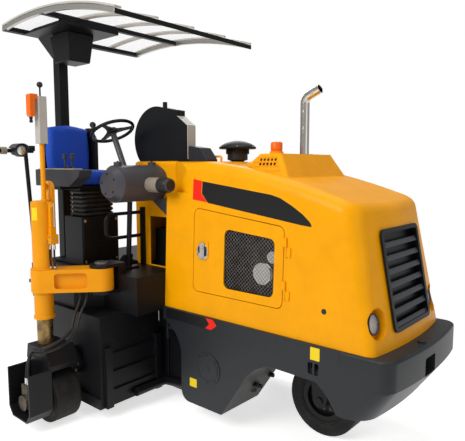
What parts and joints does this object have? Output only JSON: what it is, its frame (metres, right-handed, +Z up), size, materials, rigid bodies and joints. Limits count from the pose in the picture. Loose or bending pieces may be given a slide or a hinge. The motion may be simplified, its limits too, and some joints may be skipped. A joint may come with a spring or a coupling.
{
  "type": "cold planer milling machine",
  "caption": "Small wheeled cold planer: hooded engine, front steered wheel, rear legs, milling drum in its housing, operator seat and canopy.",
  "frame": {"origin": "middle of the whole machine on the ground, at the bottom of the tyres", "axes": "+X forwards towards the grille, +Y to the driver's left, +Z up"},
  "size_m": [3.12, 2.02, 3.05],
  "materials": {
    "yellow_paint": "gloss",
    "arm_paint": "satin",
    "slate_paint": "satin",
    "black_paint": "satin",
    "chrome": "polished",
    "steel": "worn",
    "cast_iron": "rough",
    "tyre": "solid rubber",
    "rubber": "matt",
    "blue_vinyl": "smooth",
    "glass": "clear",
    "clear_sheet": "clear",
    "orange_plastic": "gloss",
    "aluminium": "satin",
    "grey_paint": "satin"
  },
  "bodies": {
    "chassis": {"main_frame": "slate_paint", "counterweight": "slate_paint", "hood": "yellow_paint", "grille": "black_paint", "headlamps": "yellow_paint", "headlamp_lenses": "glass", "engine_and_radiator": "cast_iron", "intake_box": "yellow_paint", "beacon": "orange_plastic", "exhaust_stack": "chrome", "precleaner": "black_paint", "rear_frame": "black_paint", "pivot_pin": "steel", "deck": "black_paint", "rear_housing": "yellow_paint", "battery_box": "black_paint", "dome_cover": "black_paint", "cowl": "grey_paint", "console": "grey_paint", "pedal_column": "black_paint", "guard_rail": "black_paint", "seat_base": "black_paint", "seat_bellows": "rubber", "seat": "blue_vinyl", "seat_shell": "black_paint", "armrest": "grey_paint", "canopy_panels": "clear_sheet", "canopy_ribs": "aluminium", "canopy_frame": "black_paint", "canopy_post": "grey_paint", "work_lamp": "black_paint", "drum_housing": "slate_paint", "column_left": "arm_paint", "hoses_left": "rubber"},
    "door_right": {"door_right": "yellow_paint", "door_mesh_right": "black_paint"},
    "door_left": {"door_left": "yellow_paint", "door_mesh_left": "black_paint"},
    "drum": {"milling_drum": "steel"},
    "steering_wheel": {"steering_wheel": "black_paint"},
    "right_arm": {"swing_arm": "arm_paint", "column_right": "arm_paint", "depth_gauge": "grey_paint", "hoses_right": "rubber"},
    "right_leg": {"leg_rod_right": "chrome", "yoke_right": "slate_paint", "motor_right": "grey_paint"},
    "right_wheel": {"hub_right": "grey_paint", "tyre_right": "tyre"},
    "left_leg": {"leg_rod_left": "chrome", "yoke_left": "slate_paint", "motor_left": "grey_paint"},
    "left_wheel": {"hub_left": "grey_paint", "tyre_left": "tyre"},
    "front_fork": {"front_fork": "slate_paint"},
    "front_wheel": {"front_hub": "grey_paint", "front_tyre": "tyre"}
  },
  "joints": [
    {"name": "right_door_hinge", "type": "hinge", "parent": "chassis", "child": "door_right", "pos_m": [0.787, -0.0358, 1.25], "axis": [0, 0.04, 0.9992], "range_deg": [0, 110]},
    {"name": "left_door_hinge", "type": "hinge", "parent": "chassis", "child": "door_left", "pos_m": [0.787, 0.9758, 1.25], "axis": [0, 0.04, -0.9992], "range_deg": [0, 110]},
    {"name": "drum_spin", "type": "hinge", "parent": "chassis", "child": "drum", "pos_m": [-0.85, -0.248, 0.4], "axis": [0, 1, 0], "continuous": true},
    {"name": "steering_wheel_turn", "type": "hinge", "parent": "chassis", "child": "steering_wheel", "pos_m": [-0.805, -0.15, 2.17], "axis": [-0.4475, 0, 0.8943], "range_deg": [-540, 540]},
    {"name": "arm_swing", "type": "hinge", "parent": "chassis", "child": "right_arm", "pos_m": [-0.62, -0.415, 1.057], "axis": [0, 0, 1], "range_deg": [0, 100]},
    {"name": "right_leg_lift", "type": "slide", "parent": "right_arm", "child": "right_leg", "axis": [0, 0, 1], "range_m": [-0.12, 0.15], "deforming": ["hoses_right"]},
    {"name": "right_wheel_spin", "type": "hinge", "parent": "right_leg", "child": "right_wheel", "pos_m": [-0.84, -0.7, 0.2], "axis": [0, 1, 0], "continuous": true},
    {"name": "left_leg_lift", "type": "slide", "parent": "chassis", "child": "left_leg", "axis": [0, 0, 1], "range_m": [-0.12, 0.15], "deforming": ["hoses_left"]},
    {"name": "left_wheel_spin", "type": "hinge", "parent": "left_leg", "child": "left_wheel", "pos_m": [-0.84, 0.87, 0.2], "axis": [0, 1, 0], "continuous": true},
    {"name": "steer", "type": "hinge", "parent": "chassis", "child": "front_fork", "pos_m": [0.829, 0.47, 0.69], "axis": [0, 0, 1], "range_deg": [-35, 35]},
    {"name": "front_wheel_spin", "type": "hinge", "parent": "front_fork", "child": "front_wheel", "pos_m": [0.829, 0.47, 0.265], "axis": [0, 1, 0], "continuous": true}
  ]
}
